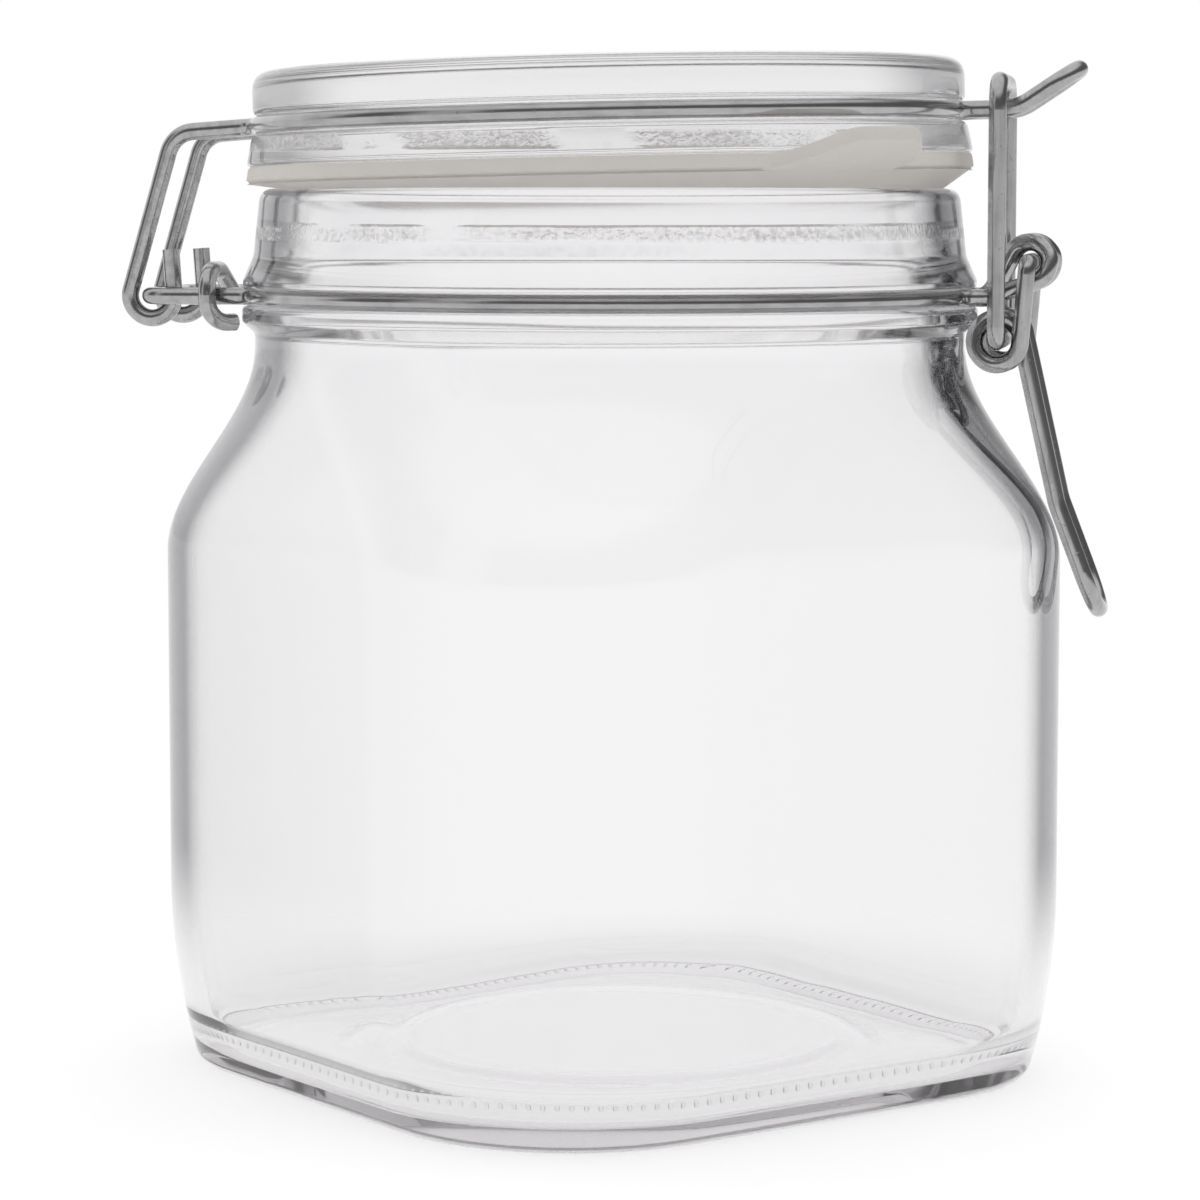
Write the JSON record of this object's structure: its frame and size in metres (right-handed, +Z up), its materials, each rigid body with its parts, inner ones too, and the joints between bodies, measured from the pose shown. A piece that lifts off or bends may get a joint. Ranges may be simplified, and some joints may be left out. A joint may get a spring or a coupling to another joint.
{
  "type": "lidded glass canister",
  "caption": "Square-bodied clear glass storage canister with a round neck, hinged glass lid, rubber gasket and a wire clasp that pulls the lid shut.",
  "frame": {"origin": "middle of the base, on the plane that the canister stands on", "axes": "+Z up along the neck's axis, +X towards the clasp, hinge bar along Y at -X; the body's upright corners lie on the X and Y axes"},
  "size_m": [0.1373, 0.1256, 0.141],
  "materials": {
    "jar_glass": "clear pressed glass",
    "lid_glass": "clear pressed glass",
    "gasket_rubber": "matt off-white",
    "neck_wire_steel": "satin zinc",
    "lid_wire_steel": "satin zinc",
    "lever_steel": "satin zinc",
    "link_steel": "satin zinc"
  },
  "bodies": {
    "jar": {"jar": "jar_glass", "neck_wire": "neck_wire_steel"},
    "lid": {"lid": "lid_glass", "gasket": "gasket_rubber", "lid_wire": "lid_wire_steel"},
    "lever": {"lever": "lever_steel"},
    "link": {"link_loop": "link_steel"}
  },
  "joints": [
    {"name": "lid_hinge", "type": "hinge", "parent": "jar", "child": "lid", "pos_m": [-0.0635, 0, 0.1082], "axis": [0, -1, 0], "range_deg": [0, 180]},
    {"name": "lever_pivot", "type": "hinge", "parent": "jar", "child": "lever", "pos_m": [0.0584, 0, 0.113], "axis": [0, -1, 0], "range_deg": [0, 120]},
    {"name": "link_pivot", "type": "hinge", "parent": "lever", "child": "link", "pos_m": [0.0544, 0, 0.1024], "axis": [0, 1, 0], "range_deg": [0, 89]}
  ],
  "couplings": [
    {"joint": "link_pivot", "follows": "lever_pivot", "ratio": 0.74}
  ]
}
